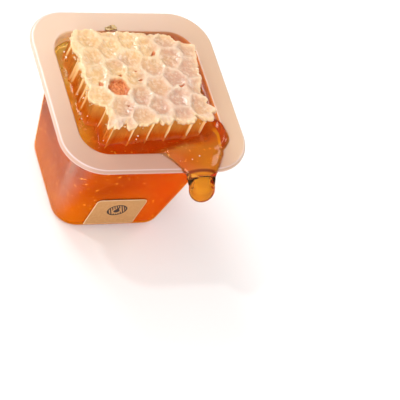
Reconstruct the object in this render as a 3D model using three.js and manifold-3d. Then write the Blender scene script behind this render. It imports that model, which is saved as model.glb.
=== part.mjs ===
// Mini tub of honeycomb: an open plastic tub with a rolled rim, filled with honey that runs over the
// front rim into a hanging drop, with a knife-cut block of capped honeycomb sunk in it, and a label.
// Millimetres, +Z up, front at -Y, the middle of the flat base at the origin.
import * as THREE from "three";
import { mergeVertices } from "three/addons/utils/BufferGeometryUtils.js";
import Module from "manifold-3d";

// Tub
const RIM_Z = 36; // height of the flange's top face
const BASE_HALF = 14.6; // half the outer width at the base
const TOP_HALF = 19.1; // half the outer width where the wall meets the flange
const CORNER_BASE = 6; // upright corner radius at the base
const CORNER_TOP = 7; // and at the flange
const WALL = 0.6;
const BASE_EDGE_R = 1.7;
const MOUTH_R = 0.8; // rounding from the inner wall to the flange
const NECK_R = 0.8; // rounding from the outer wall to the flange
const FLANGE_HALF = 24; // half the width of the flange
const FLANGE_EXTRA = 0.4; // the flange is this much deeper than wide, each way
const FLANGE_BACK = 0.6; // and sits this far back from the tub's middle
const FLANGE_CORNER = 10;
const LIP_DROP = 1.6; // how far the rolled lip turns down
const LIP_R = 0.8;
const CORNER_STEPS = 9;

// Honey
const GAP = 0.3; // clearance between pieces that touch
const BACK_LEFT_LEVEL = -3.6; // honey level under the rim at the back left corner
const FRONT_RIGHT_LEVEL = -1.9; // and at the front right corner, before the mound
const MOUND_AT = [10, -18.5]; // the honey piles up here and runs over the rim
const MOUND_HEIGHT = 2.9;
const MOUND_SPREAD = 5.2;
const BULGE_AT = [14.0, -13.4, RIM_Z - 0.9]; // round swell at the front right corner of the mouth
const BULGE_SIZE = [6.8, 6.4, 1.9];
// The spill, from the pool over the flange and its lip to the tip of the drop: place, half width, half depth.
const SPILL = [
  [7.0, -14.5, RIM_Z - 2.2, 7.0, 1.8],
  [8.2, -17.5, RIM_Z - 0.6, 8.2, 1.4],
  [9.1, -20.0, RIM_Z + 0.2, 7.4, 1.1],
  [9.4, -22.4, RIM_Z + 0.2, 5.7, 1.1],
  [9.5, -24.2, RIM_Z - 0.3, 4.8, 1.3],
  [9.7, -25.0, RIM_Z - 1.8, 4.1, 2.0],
];
const DROP_LENGTH = 7.6; // from the lip to the tip
const DROP_R = 3.4;
const DROP_LEAN = new THREE.Vector3(0.314, -0.092, -0.945);

// Comb
const COMB_TOP = RIM_Z + 5.5;
const COMB_DEEP = 18; // thickness of the comb
const CELL = 5.9; // from one cell's middle to the next
const CELL_WALL = 0.7;
const CELL_AT = [2.5, 0.1]; // middle of one cell
const CELL_LEAN = 0.07; // the columns of cells lean this much
const OPEN_INSIDE = 0.8; // a cell whose middle is no deeper than this inside the cut is cut open
const GROOVE = 1.2; // how far the honey in an open cell stays back from the cut
const CAP_THICK = 1.1;
const CAP_DIP = 0.55; // each capping sinks this much in its middle
const CAP_OVERHANG = 0.45; // the cap plate stands out this far past the cut sides
const RAGGED = 0.35; // how far the torn edge of the cap plate wanders
const CELL_DRIFT = 0.3; // how far each cell strays from a regular grid
const BROKEN_CELL = [-8.4, -3.0]; // one cell with its capping gone
const BROKEN_DEEP = 0.9;
// The knife's cuts, seen from above, from the back left corner clockwise; the last three leave a notch.
const CUT = [
  [-16.2, 13.7],
  [9.4, 12.6],
  [10.6, 10.9],
  [15.3, 9.5],
  [13.2, -4.6],
  [14.8, -10.2],
  [12.6, -12.9],
  [0.4, -13.5],
  [-13.4, -14.9],
  [-12.8, -8.8],
  [-15.6, -8.0],
];
const RELIEF_STEP = 0.74;

// Label, on the front wall
const LABEL_WIDTH = 13.2;
const LABEL_HEIGHT = 12;
const LABEL_FOOT = 1.9; // height of its lower edge
const LABEL_X = -1.2;
const LABEL_R = 1.3;
const LABEL_THICK = 0.2;
const LABEL_GAP = 0.1;

const wasm = await Module();
wasm.setup();

// Helpers

const lerp = THREE.MathUtils.lerp;
const clamp01 = (t) => THREE.MathUtils.clamp(t, 0, 1);

function solidOf(geometry) {
  const bare = geometry.clone();
  bare.deleteAttribute("normal");
  bare.deleteAttribute("uv");
  const merged = mergeVertices(bare, 1e-4);
  return new wasm.Manifold(
    new wasm.Mesh({
      numProp: 3,
      vertProperties: merged.attributes.position.array,
      triVerts: new Uint32Array(merged.index.array),
    }),
  );
}

// The largest body of a solid, without the loose scraps a cut can leave.
function largest(solid) {
  return solid.decompose().reduce((a, b) => (a.volume() > b.volume() ? a : b));
}

function named(name, solid, material) {
  const mesh = solid.getMesh();
  const geometry = new THREE.BufferGeometry();
  geometry.setAttribute("position", new THREE.BufferAttribute(mesh.vertProperties, 3));
  geometry.setIndex(new THREE.BufferAttribute(mesh.triVerts, 1));
  geometry.computeVertexNormals();
  const made = new THREE.Mesh(geometry, material);
  made.name = name;
  return made;
}

// Closed skin over rings of equal length, with a fan at each end.
function skin(rings) {
  const around = rings[0].length;
  const points = rings.flat();
  const faces = [];
  for (let i = 0; i + 1 < rings.length; i++) {
    for (let k = 0; k < around; k++) {
      const a = i * around + k;
      const b = i * around + ((k + 1) % around);
      faces.push(a, b, b + around, a, b + around, a + around);
    }
  }
  const middle = (ring) =>
    ring.reduce((sum, p) => sum.add(p), new THREE.Vector3()).divideScalar(around);
  const first = points.push(middle(rings[0])) - 1;
  const last = points.push(middle(rings.at(-1))) - 1;
  const top = (rings.length - 1) * around;
  for (let k = 0; k < around; k++) {
    const next = (k + 1) % around;
    faces.push(first, next, k, last, top + k, top + next);
  }
  return new THREE.BufferGeometry().setFromPoints(points).setIndex(faces);
}

// Solid between a flat bottom and a height that varies over a rectangle.
function underSurface(x0, x1, y0, y1, step, bottom, height) {
  const nx = Math.ceil((x1 - x0) / step);
  const ny = Math.ceil((y1 - y0) / step);
  const block = new THREE.BoxGeometry(1, 1, 1, nx, ny, 1);
  const at = block.attributes.position;
  for (let i = 0; i < at.count; i++) {
    const x = lerp(x0, x1, at.getX(i) + 0.5);
    const y = lerp(y0, y1, at.getY(i) + 0.5);
    at.setXYZ(i, x, y, at.getZ(i) > 0 ? height(x, y) : bottom);
  }
  return solidOf(block);
}

function extrude(points, bottom, top) {
  const shape = new THREE.Shape(points.map(([x, y]) => new THREE.Vector2(x, y)));
  const geometry = new THREE.ExtrudeGeometry(shape, { depth: top - bottom, bevelEnabled: false });
  return solidOf(geometry.translate(0, 0, bottom));
}

// Points on an arc in the profile plane, angles in degrees.
function arc(s, z, r, from, to, steps = 4) {
  return Array.from({ length: steps + 1 }, (_, i) => {
    const a = THREE.MathUtils.degToRad(lerp(from, to, i / steps));
    return [s + r * Math.cos(a), z + r * Math.sin(a)];
  });
}

// Tub

const outerHalf = (z) => lerp(BASE_HALF, TOP_HALF, z / RIM_Z);
const innerHalf = (z) => outerHalf(z) - WALL;

// Rounded square at half width s and height z, which widens into the flange past the wall.
function tubRing([s, z]) {
  const out = clamp01((s - TOP_HALF) / (FLANGE_HALF - TOP_HALF));
  const wallCorner = lerp(CORNER_BASE, CORNER_TOP, z / RIM_Z) + s - outerHalf(z);
  const r = out > 0 ? lerp(CORNER_TOP, FLANGE_CORNER, out) : Math.max(wallCorner, 0.5);
  const deep = s + FLANGE_EXTRA * out;
  const ring = [];
  for (let corner = 0; corner < 4; corner++) {
    const sx = corner === 0 || corner === 3 ? 1 : -1;
    const sy = corner < 2 ? 1 : -1;
    for (let i = 0; i <= CORNER_STEPS; i++) {
      const a = (Math.PI / 2) * (corner + i / CORNER_STEPS);
      const x = sx * (s - r) + r * Math.cos(a);
      const y = sy * (deep - r) + r * Math.sin(a) + FLANGE_BACK * out;
      ring.push(new THREE.Vector3(x, y, z));
    }
  }
  return ring;
}

// The tub's section: out along the base, up the outer wall, round the lip, and down the inner wall.
function tubProfile() {
  const neckZ = RIM_Z - WALL - NECK_R;
  const mouthZ = RIM_Z - MOUTH_R;
  const floorR = BASE_EDGE_R - WALL;
  const floorZ = WALL + floorR;
  const lipZ = RIM_Z - LIP_DROP;
  const lipIn = FLANGE_HALF - WALL;
  return [
    ...arc(outerHalf(BASE_EDGE_R) - BASE_EDGE_R, BASE_EDGE_R, BASE_EDGE_R, -90, 0, 5),
    ...arc(outerHalf(neckZ) + NECK_R, neckZ, NECK_R, 180, 90),
    [lipIn - LIP_R / 3, RIM_Z - WALL],
    [lipIn, RIM_Z - WALL - LIP_R / 3],
    [lipIn, lipZ],
    [FLANGE_HALF, lipZ],
    ...arc(FLANGE_HALF - LIP_R, RIM_Z - LIP_R, LIP_R, 0, 90, 5),
    ...arc(innerHalf(mouthZ) + MOUTH_R, mouthZ, MOUTH_R, 90, 180),
    ...arc(innerHalf(floorZ) - floorR, floorZ, floorR, 0, -90),
  ];
}

// The same section with every face moved out by a clearance.
function grown(profile, by) {
  const normal = (a, b) => new THREE.Vector2(b[1] - a[1], a[0] - b[0]).normalize();
  return profile.map((p, i) => {
    const before = normal(profile[Math.max(i - 1, 0)], profile[Math.max(i, 1)]);
    const end = profile.length - 1;
    const after = normal(profile[Math.min(i, end - 1)], profile[Math.min(i + 1, end)]);
    const both = before.add(after).normalize();
    const reach = by / Math.max(both.dot(after), 0.5);
    return [p[0] + both.x * reach, p[1] + both.y * reach];
  });
}

function makeTub(clearance = 0) {
  const profile = clearance ? grown(tubProfile(), clearance) : tubProfile();
  return solidOf(skin(profile.map(tubRing)));
}

// Comb

const inward = (points, by) => {
  const section = new wasm.CrossSection([points]);
  return section.offset(-by, "Miter").toPolygons()[0];
};
const counterClockwise = [...CUT].reverse();

// Distance from a point to the nearest cut, positive inside the comb.
function insideCut(x, y) {
  let nearest = Infinity;
  let inside = false;
  counterClockwise.forEach(([ax, ay], i) => {
    const [bx, by] = counterClockwise[(i + 1) % counterClockwise.length];
    const t = clamp01(
      ((x - ax) * (bx - ax) + (y - ay) * (by - ay)) / ((bx - ax) ** 2 + (by - ay) ** 2),
    );
    nearest = Math.min(nearest, Math.hypot(x - lerp(ax, bx, t), y - lerp(ay, by, t)));
    if (ay > y !== by > y && x < ax + ((y - ay) / (by - ay)) * (bx - ax)) inside = !inside;
  });
  return inside ? nearest : -nearest;
}

// Middles of the cells, in columns along Y, each second column moved by half a cell.
function cellMiddles() {
  const middles = [];
  for (let i = -5; i <= 4; i++) {
    for (let j = -4; j <= 4; j++) {
      const y = CELL_AT[1] + CELL * (j + (Math.abs(i) % 2) / 2 + 0.5);
      const x = CELL_AT[0] + CELL * Math.cos(Math.PI / 6) * i + CELL_LEAN * y;
      const turn = 2.4 * i + 4.1 * j;
      middles.push([x + CELL_DRIFT * Math.sin(turn), y + CELL_DRIFT * Math.cos(1.7 * turn)]);
    }
  }
  return middles;
}
const middles = cellMiddles();

// Height of the cappings: ridges over the cell walls, a dip in each middle, and one broken cell.
function capHeight(x, y) {
  const far = middles.map(([cx, cy]) => Math.hypot(x - cx, y - cy)).sort((a, b) => a - b);
  const fromWall = (far[1] - far[0]) / 2;
  const dip = CAP_DIP * clamp01(fromWall / (CELL / 3)) ** 0.7;
  const isBroken = Math.hypot(x - BROKEN_CELL[0], y - BROKEN_CELL[1]) < CELL * 0.56;
  const broken = isBroken ? BROKEN_DEEP * clamp01((fromWall - 0.4) / 0.5) : 0;
  return COMB_TOP - dip - broken;
}

// The torn edge of the cap plate: the cuts moved out, and wandering along their length.
function capOutline() {
  const edge = new THREE.CurvePath();
  const corners = inward(counterClockwise, -CAP_OVERHANG).map(([x, y]) => new THREE.Vector2(x, y));
  corners.forEach((p, i) => edge.add(new THREE.LineCurve(p, corners[(i + 1) % corners.length])));
  const count = Math.round(edge.getLength() / 1.1);
  return Array.from({ length: count }, (_, i) => {
    const t = (2 * Math.PI * i) / count;
    const [x, y] = edge.getPointAt(i / count).toArray();
    const wander = RAGGED * (Math.sin(17 * t + 1) + 0.7 * Math.sin(29 * t + 2.1));
    const away = new THREE.Vector2(x, y).normalize().multiplyScalar(wander);
    return [x + away.x, y + away.y];
  });
}

function openCell([x, y]) {
  const prism = new THREE.CylinderGeometry(1, 1, COMB_DEEP + 2, 6).rotateX(Math.PI / 2);
  const r = (CELL - CELL_WALL) / Math.sqrt(3);
  prism.rotateZ(Math.PI / 6 + Math.PI / 3 - CELL_LEAN).scale(r, r, 1);
  const top = COMB_TOP - CAP_THICK - CAP_DIP;
  return solidOf(prism.translate(x, y, top - (COMB_DEEP + 2) / 2));
}

function makeComb() {
  const underCap = COMB_TOP - CAP_THICK - CAP_DIP;
  const cap = underSurface(-18, 18, -17, 17, RELIEF_STEP, underCap, capHeight).intersect(
    extrude(capOutline(), underCap - 1, COMB_TOP + 1),
  );
  const foot = COMB_TOP - COMB_DEEP;
  const middle = extrude(inward(counterClockwise, GROOVE), foot, underCap + 0.2);
  let block = extrude(counterClockwise, foot, underCap + 0.2);
  for (const at of middles) {
    const inside = insideCut(...at);
    if (inside < OPEN_INSIDE && inside > -CELL / 2) block = block.subtract(openCell(at));
  }
  return largest(block.add(middle).add(cap));
}

// Honey

// Level of the pool, tilted up towards the front right, where it mounds over the rim.
function honeyLevel(x, y) {
  const across = clamp01((x - y) / (4 * innerHalf(RIM_Z)) + 0.5);
  const away = Math.hypot(x - MOUND_AT[0], y - MOUND_AT[1]) / MOUND_SPREAD;
  const mound = MOUND_HEIGHT * Math.exp((-away * away) / 2);
  return RIM_Z + lerp(BACK_LEFT_LEVEL, FRONT_RIGHT_LEVEL, across) + mound;
}

function makePool() {
  const rings = [];
  for (let i = 0; i <= 6; i++) {
    const z = lerp(WALL / 2, RIM_Z, i / 6);
    rings.push(tubRing([outerHalf(z) - WALL / 2, z]));
  }
  return solidOf(skin(rings)).intersect(underSurface(-20, 20, -20, 20, 1.6, -1, honeyLevel));
}

// Ellipse across the spill's path, wide sideways and deep along the normal.
function spillRing(at, along, wide, deep) {
  const side = new THREE.Vector3(1, 0, 0).addScaledVector(along, -along.x).normalize();
  const up = new THREE.Vector3().crossVectors(side, along);
  return Array.from({ length: 24 }, (_, i) => {
    const a = (-2 * Math.PI * i) / 24;
    return at
      .clone()
      .addScaledVector(side, wide * Math.cos(a))
      .addScaledVector(up, deep * Math.sin(a));
  });
}

function makeSpill() {
  const lean = DROP_LEAN.clone().normalize();
  const stations = SPILL.map(([x, y, z, wide, deep]) => [new THREE.Vector3(x, y, z), wide, deep]);
  const neck = stations.at(-1)[0];
  for (const t of [0.25, 0.45, 0.6, 0.72, 0.82, 0.9, 0.96, 0.99]) {
    const r = DROP_R * Math.sqrt(1 - clamp01((t - 0.55) / 0.45) ** 2);
    stations.push([neck.clone().addScaledVector(lean, t * DROP_LENGTH), r, r]);
  }
  const path = new THREE.CatmullRomCurve3(stations.map(([at]) => at), false, "centripetal");
  const rings = [];
  const count = stations.length - 1;
  const steps = 2;
  for (let i = 0; i <= count * steps; i++) {
    const t = i / (count * steps);
    const k = Math.min(Math.floor(i / steps), count - 1);
    const part = i / steps - k;
    const wide = lerp(stations[k][1], stations[k + 1][1], part);
    const deep = lerp(stations[k][2], stations[k + 1][2], part);
    rings.push(spillRing(path.getPoint(t), path.getTangent(t), wide, deep));
  }
  return solidOf(skin(rings));
}

function makeHoney() {
  const bulge = new THREE.SphereGeometry(1, 24, 14).rotateX(Math.PI / 2);
  bulge.scale(...BULGE_SIZE).translate(...BULGE_AT);
  const pocket = extrude(inward(counterClockwise, -GAP), COMB_TOP - COMB_DEEP - GAP, COMB_TOP + 5);
  const all = makePool().add(makeSpill()).add(solidOf(bulge));
  return largest(all.subtract(makeTub(GAP)).subtract(pocket));
}

// Label

function makeLabel() {
  const w = LABEL_WIDTH / 2;
  const shape = new THREE.Shape();
  shape.moveTo(-w, 0).lineTo(w, 0).lineTo(w, LABEL_HEIGHT - LABEL_R);
  shape.absarc(w - LABEL_R, LABEL_HEIGHT - LABEL_R, LABEL_R, 0, Math.PI / 2);
  shape.lineTo(LABEL_R - w, LABEL_HEIGHT);
  shape.absarc(LABEL_R - w, LABEL_HEIGHT - LABEL_R, LABEL_R, Math.PI / 2, Math.PI);
  const sheet = new THREE.ExtrudeGeometry(shape, {
    depth: LABEL_THICK,
    bevelEnabled: false,
    curveSegments: 6,
  });
  const draft = Math.atan((TOP_HALF - BASE_HALF) / RIM_Z);
  sheet.translate(0, 0, LABEL_GAP).rotateX(Math.PI / 2 + draft);
  return solidOf(sheet.translate(LABEL_X, -outerHalf(LABEL_FOOT), LABEL_FOOT));
}

// Assembly

const plastic = new THREE.MeshStandardMaterial({ color: 0xe8c4ac, roughness: 0.35 });
const amber = new THREE.MeshStandardMaterial({ color: 0xc8600f, roughness: 0.08 });
const wax = new THREE.MeshStandardMaterial({ color: 0xf3d9ae, roughness: 0.6 });
const paper = new THREE.MeshStandardMaterial({ color: 0xd9a066, roughness: 0.8 });

const group = new THREE.Group();
group.add(
  named("tub", makeTub(), plastic),
  named("honey", makeHoney(), amber),
  named("comb", makeComb(), wax),
  named("label", makeLabel(), paper),
);

export default group;
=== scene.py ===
"""The looks of a mini tub of honeycomb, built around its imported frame.

An open plastic tub with a rolled rim stands on its base. It is full of honey, which runs over the front
rim and hangs there as a drop, and a knife-cut block of capped honeycomb sits in the honey.
Lengths are in millimetres in the constants, the shapes and the materials, and in metres in the settings.
"""

import math

import bpy
import numpy as np
from bpy.props import FloatProperty, FloatVectorProperty, PointerProperty
from mathutils import Matrix, Vector


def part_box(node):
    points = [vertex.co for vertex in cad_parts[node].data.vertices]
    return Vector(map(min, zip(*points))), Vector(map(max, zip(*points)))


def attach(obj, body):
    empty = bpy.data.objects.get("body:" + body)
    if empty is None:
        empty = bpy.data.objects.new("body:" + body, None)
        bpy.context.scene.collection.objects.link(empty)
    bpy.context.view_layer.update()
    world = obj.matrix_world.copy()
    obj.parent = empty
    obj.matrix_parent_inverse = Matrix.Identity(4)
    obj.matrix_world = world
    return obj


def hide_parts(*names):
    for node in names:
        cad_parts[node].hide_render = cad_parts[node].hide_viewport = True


bl_info = {
    "name": "Honeycomb Tub",
    "version": (1, 0, 0),
    "blender": (4, 5, 0),
    "location": "View3D > Sidebar > Honeycomb",
    "description": "Makes an open tub of honeycomb in honey around its packed frame",
    "category": "Object",
}

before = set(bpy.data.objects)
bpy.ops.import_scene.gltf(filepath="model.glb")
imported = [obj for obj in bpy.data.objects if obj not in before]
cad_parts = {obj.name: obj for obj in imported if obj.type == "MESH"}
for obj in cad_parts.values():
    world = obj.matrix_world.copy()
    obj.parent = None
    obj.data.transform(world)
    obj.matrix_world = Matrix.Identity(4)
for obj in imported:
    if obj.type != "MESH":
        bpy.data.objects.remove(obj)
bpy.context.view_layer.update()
MM = 0.001
TUB_LOW, TUB_HIGH = (np.array(corner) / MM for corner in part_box("tub"))
COMB_LOW, COMB_HIGH = (np.array(corner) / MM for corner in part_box("comb"))
LABEL_LOW, LABEL_HIGH = (np.array(corner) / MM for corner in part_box("label"))

# Tub, in millimetres
RIM_Z = TUB_HIGH[2]
BASE_HALF = 14.6
TOP_HALF = 19.1
CORNER_BASE = 6.0
CORNER_TOP = 7.0
WALL = 0.6
BASE_EDGE_R = 1.7
MOUTH_R = 0.8
NECK_R = 0.8
FLANGE_HALF = TUB_HIGH[0]
FLANGE_BACK = (TUB_LOW[1] + TUB_HIGH[1]) / 2
FLANGE_EXTRA = (TUB_HIGH[1] - TUB_LOW[1]) / 2 - FLANGE_HALF
FLANGE_CORNER = 10.0
LIP_DROP = 1.25
LIP_R = 0.8

# Honey, in millimetres
BACK_LEFT_LEVEL = -3.6
FRONT_RIGHT_LEVEL = -1.9
# The overflow's edges on the flange, from the left and round the front right corner, and its back edge.
FLOW_LEFT = (
    (-5.5, -18.3), (-1.8, -18.6), (-0.2, -19.0), (1.0, -19.6), (2.5, -21.0), (4.0, -23.0),
    (5.2, -24.6), (6.1, -25.8), (6.8, -27.0),
)
FLOW_RIGHT = (
    (12.6, -27.0), (13.2, -25.4), (14.6, -23.1), (16.1, -20.6), (16.8, -19.5), (17.0, -18.4),
    (18.0, -17.4), (19.5, -15.4), (19.8, -13.6), (19.4, -11.3), (18.6, -8.6),
)
FLOW_BACK = (
    (18.0, -6.0), (15.2, -6.4), (13.4, -10.6), (10.2, -12.4), (5.2, -13.4), (0.2, -15.0),
    (-5.5, -17.2),
)
FLOW_MIDDLE = (10.0, -17.0)
FLOW_THICK = 1.5
FLOW_EDGE = 3.0
FLOW_SLOPE = 5.0
FLOW_THIN = 0.75
# Along Y the overflow is thin up to the first place and full from the second. It rolls off from the third,
# goes down in front of the lip from the fourth, and its outline is cut off at the fifth.
FLOW_THIN_Y = -17.5
FLOW_FULL_Y = -21.0
FLOW_ROLL_Y = -23.4
FLOW_DOWN_Y = -24.4
FLOW_FRONT_Y = -25.7
FLOW_ROLL = 2.2
# The neck from the overflow down over the lip: place, half width, height and depth.
NECK = (
    (9.8, -22.4, RIM_Z, 4.0, 0.9, 0.12),
    (9.8, -24.2, RIM_Z - 0.35, 3.8, 1.4, 0.3),
    (9.9, -25.2, RIM_Z - 1.8, 3.6, 1.7, 1.2),
)
DROP_LENGTH = 7.6
DROP_STEPS = 120
DROP_R = 3.2
DROP_LEAN = (0.314, -0.092, -0.945)
# Honey and heart reach into the wall's thickness, so that no gap shows through the plastic.
INTO_WALL = 0.45
HEART_INTO_WALL = 0.3
HEART_UNDER = 2.0
MENISCUS = 0.9
WALL_MENISCUS = 0.3
COAT_INSIDE = 0.2
COAT_SUNK = 0.5
# Where the pool's top ends, from the wall's base at 0 to its rim at 1, and the round of its foot.
SHORE = 0.92
HEART_SHORE = 0.9
FOOT_R = 1.2
FLOW_HEART_IN = 0.4
FLOW_HEART_UNDER = 0.45
DROP_HEART_IN = 1.4
DROP_HEART_STEPS = 86
HONEY_VOXEL = 0.305
HEART_VOXEL = 0.3

# Comb, in millimetres
COMB_TOP = COMB_HIGH[2]
COMB_FOOT = COMB_LOW[2]
CAP_THICK = 1.1
CAP_OVERHANG = 0.3
CELL = 5.9
CELL_AT = (2.5, 0.1)
CELL_LEAN = 0.07
OPEN_INSIDE = 0.8
HALF_WALL = 0.11
GROOVE = 2.2
FILLED = 0.9
CUT = (
    (-15.9, 14.4), (9.7, 13.3), (10.9, 11.5), (15.6, 10.0), (13.5, -4.1), (15.0, -9.6),
    (12.9, -12.3), (0.7, -12.9), (-13.0, -14.3), (-12.4, -8.2), (-15.2, -7.4),
)
# Torn places of the cap's edge: direction in degrees, half width in degrees, and how far it stands out.
TEARS = (
    (147, 4.0, 0.5), (138, 2.4, -0.5), (126, 6.0, 0.7), (157, 2.6, -0.4), (166, 3.0, 0.4),
    (-169, 3.2, -0.5), (-161, 2.4, 0.5), (-153, 2.6, -0.5), (110, 3.0, 0.4), (98, 5.0, 0.2),
    (34, 4.0, 0.2), (47, 3.0, -0.4), (-17, 5.0, -0.4), (-27.5, 2.0, -0.6), (-32, 2.6, 0.6),
    (-41, 3.0, 0.9), (-48.5, 2.2, -1.3), (-57, 3.0, 0.8), (-63, 2.0, 0.4), (-69, 2.2, -0.8),
    (-77, 3.0, 0.5), (-86, 1.6, 0.6), (-89, 1.6, -0.9), (-97, 3.0, -0.3), (-104, 3.5, 0.7),
    (-117, 4.0, 0.8), (-123.2, 1.8, -1.0), (-127, 2.6, 0.9), (-133, 2.0, 0.5), (-138, 2.6, -0.8),
)
# Holes in the cappings: place, half length, half width, and turn in degrees.
HOLES = (
    (4.2, 7.6, 0.9, 0.35, 60), (-6.5, 0.6, 0.7, 0.3, 10), (-1.3, -0.5, 0.5, 0.3, 40),
    (-2.0, 2.0, 0.35, 0.25, 0), (-12.1, -2.0, 0.7, 0.5, 70), (8.8, -2.5, 0.9, 0.3, 20),
    (-6.6, -8.3, 0.3, 0.25, 0),
)
BROKEN_CELL = (-8.5, -3.2)
BROKEN_DEEP = 0.8
HOLE_DEEP = 0.5
RIDGE_HIGH = 0.3
CAP_SINK = 0.34
WRINKLE = 0.09

# Bubbles, and pale beads that are painted glints, in millimetres: place and radius. The scrap of wax has
# its place alone.
BUBBLES = (
    (-16.2, -3.7, 37.4, 0.45), (-16.4, -6.7, 33.7, 0.32), (-16.2, -0.8, 35.1, 0.24),
    (-16.9, 9.2, 33.2, 0.22), (-16.2, 9.9, 35.4, 0.36), (-16.3, 11.3, 35.0, 0.28),
    (-16.5, 4.6, 34.2, 0.2), (-17.6, -1.8, 33.4, 0.25), (-4.6, -14.6, 35.0, 0.25),
    (2.0, -14.5, 35.4, 0.2), (15.4, 8.4, 38.6, 0.3), (14.9, 10.0, 38.2, 0.25),
)
GLINT_BEADS = (
    (-15.9, -3.5, 37.9, 0.17), (-16.2, -6.9, 34.2, 0.14), (-15.2, -7.2, 35.6, 0.12),
    (-16.0, -0.6, 35.5, 0.12), (-16.3, 10.4, 35.9, 0.26), (-16.5, 11.9, 36.2, 0.2),
    (-17.6, 8.6, 33.9, 0.13), (-17.2, 5.6, 33.8, 0.1), (-12.6, -13.9, 34.8, 0.12),
    (-4.4, -14.0, 36.6, 0.2), (-4.6, -14.3, 35.7, 0.15), (7.2, -21.8, 37.4, 0.16),
    (9.3, -20.9, 37.6, 0.14), (4.3, -21.8, 36.9, 0.1), (9.8, 15.6, 35.8, 0.14),
    (12.6, 14.3, 36.4, 0.2),
)
FLAKE_AT = (-2.4, 19.2)

# Points around the comb's cap and the honey
AROUND = 880


def rgb(code):
    """Linear colour of a hexadecimal sRGB code."""
    parts = np.array([int(code[i : i + 2], 16) for i in (1, 3, 5)]) / 255
    return tuple(np.where(parts <= 0.04045, parts / 12.92, ((parts + 0.055) / 1.055) ** 2.4))


# Numbers and outlines


def lerp(a, b, t):
    return a + (b - a) * t


def smooth(t):
    """0 below 0, 1 above 1, and 3t^2 - 2t^3 between."""
    t = np.clip(t, 0, 1)
    return t * t * (3 - 2 * t)


def noise(x, y, size, seed):
    """Random heights from -1 to 1 on a square lattice of the given size, eased between its points."""
    table = np.random.default_rng(seed).uniform(-1, 1, (64, 64))
    u, v = x / size, y / size
    i, j = np.floor(u).astype(int), np.floor(v).astype(int)
    su, sv = smooth(u - i), smooth(v - j)
    low = lerp(table[i % 64, j % 64], table[(i + 1) % 64, j % 64], su)
    high = lerp(table[i % 64, (j + 1) % 64], table[(i + 1) % 64, (j + 1) % 64], su)
    return lerp(low, high, sv)


def layered(x, y, size, seed, layers=3):
    """Sum of noises, each half the size and half the height of the one before."""
    return sum(noise(x, y, size / 2**k, seed + k) / 2**k for k in range(layers))


def directions(count):
    """Evenly spaced angles all the way round."""
    return np.linspace(-math.pi, math.pi, count, endpoint=False)


def spread(r, angles):
    """Places at distance r in each direction."""
    return r * np.cos(angles), r * np.sin(angles)


def polar(r, angles, z):
    """Points at distance r in each direction, at height z."""
    return np.stack(np.broadcast_arrays(*spread(r, angles), z), -1)


def reach(outline, angles):
    """Distance from the origin to a closed outline in each direction.

    The ray r*d meets the edge from a, along e, where r = (a x e) / (d x e), and s = (a x d) / (d x e) is
    the share of the edge; the nearest meeting with s from 0 to 1 counts.
    """
    a = np.asarray(outline, float)
    e = np.roll(a, -1, 0) - a
    d = np.stack([np.cos(angles), np.sin(angles)], -1)[:, None]
    cross = lambda p, q: p[..., 0] * q[..., 1] - p[..., 1] * q[..., 0]
    facing = cross(d, e)
    facing = np.where(np.abs(facing) < 1e-12, 1e-12, facing)
    r, s = cross(a, e) / facing, cross(a[None], d) / facing
    return np.where((r > 0) & (s > -1e-9) & (s < 1 + 1e-9), r, np.inf).min(1)


def rounded_square(half, deep, corner, back=0.0, steps=24):
    """Outline of a rectangle with round corners, from quarter circles about the four corner centres."""
    turn = np.linspace(0, math.pi / 2, steps + 1)
    parts = []
    for k, (sx, sy) in enumerate(((1, 1), (-1, 1), (-1, -1), (1, -1))):
        a = turn + k * math.pi / 2
        x = sx * (half - corner) + corner * np.cos(a)
        y = sy * (deep - corner) + corner * np.sin(a) + back
        parts.append(np.stack([x, y], -1))
    return np.concatenate(parts)


# Meshes


def make_mesh(name, grid, attributes=None):
    """Closed surface over a grid of rows, each a ring of points, with a fan at the first and last row.

    Rows that run outwards or upwards on the outside give faces that point out.
    """
    rows, around = grid.shape[:2]
    points = np.concatenate([grid.reshape(-1, 3), grid[:1].mean(1), grid[-1:].mean(1)])
    k = np.arange(around)
    after = (k + 1) % around
    start = (np.arange(rows - 1) * around)[:, None]
    quads = np.stack([start + k, start + after, start + around + after, start + around + k], -1)
    faces = quads.reshape(-1, 4).tolist()
    last = (rows - 1) * around
    faces += np.stack([np.full(around, len(points) - 2), after, k], -1).tolist()
    faces += np.stack([np.full(around, len(points) - 1), last + k, last + after], -1).tolist()
    mesh = bpy.data.meshes.new(name)
    mesh.from_pydata(points * MM, [], faces)
    for key, values in (attributes or {}).items():
        flat = values.reshape(rows * around)
        layer = mesh.attributes.new(key, "FLOAT", "POINT")
        layer.data.foreach_set("value", np.concatenate([flat, flat[:1], flat[-1:]]).astype(np.float32))
    return add_object(name, mesh)


def add_object(name, mesh):
    mesh.polygons.foreach_set("use_smooth", np.ones(len(mesh.polygons), bool))
    mesh.update()
    made = bpy.data.objects.new(name, mesh)
    bpy.context.scene.collection.objects.link(made)
    return made


def joined(name, pieces):
    """One object from several, their meshes side by side."""
    with bpy.context.temp_override(
        active_object=pieces[0], object=pieces[0], selected_editable_objects=pieces
    ):
        bpy.ops.object.join()
    pieces[0].name = name
    return pieces[0]


def fused(name, parts, voxel):
    """Parts made one by a voxel remesh, and smoothed."""
    piece = joined(name, parts)
    remesh = piece.modifiers.new("Remesh", "REMESH")
    remesh.mode = "VOXEL"
    remesh.voxel_size = voxel * MM
    remesh.use_smooth_shade = True
    smoothing = piece.modifiers.new("Smooth", "SMOOTH")
    smoothing.factor = 0.5
    smoothing.iterations = 8
    depsgraph = bpy.context.evaluated_depsgraph_get()
    mesh = bpy.data.meshes.new_from_object(piece.evaluated_get(depsgraph))
    mesh.name = name
    old = piece.data
    piece.modifiers.clear()
    piece.data = mesh
    bpy.data.meshes.remove(old)
    return piece


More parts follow.
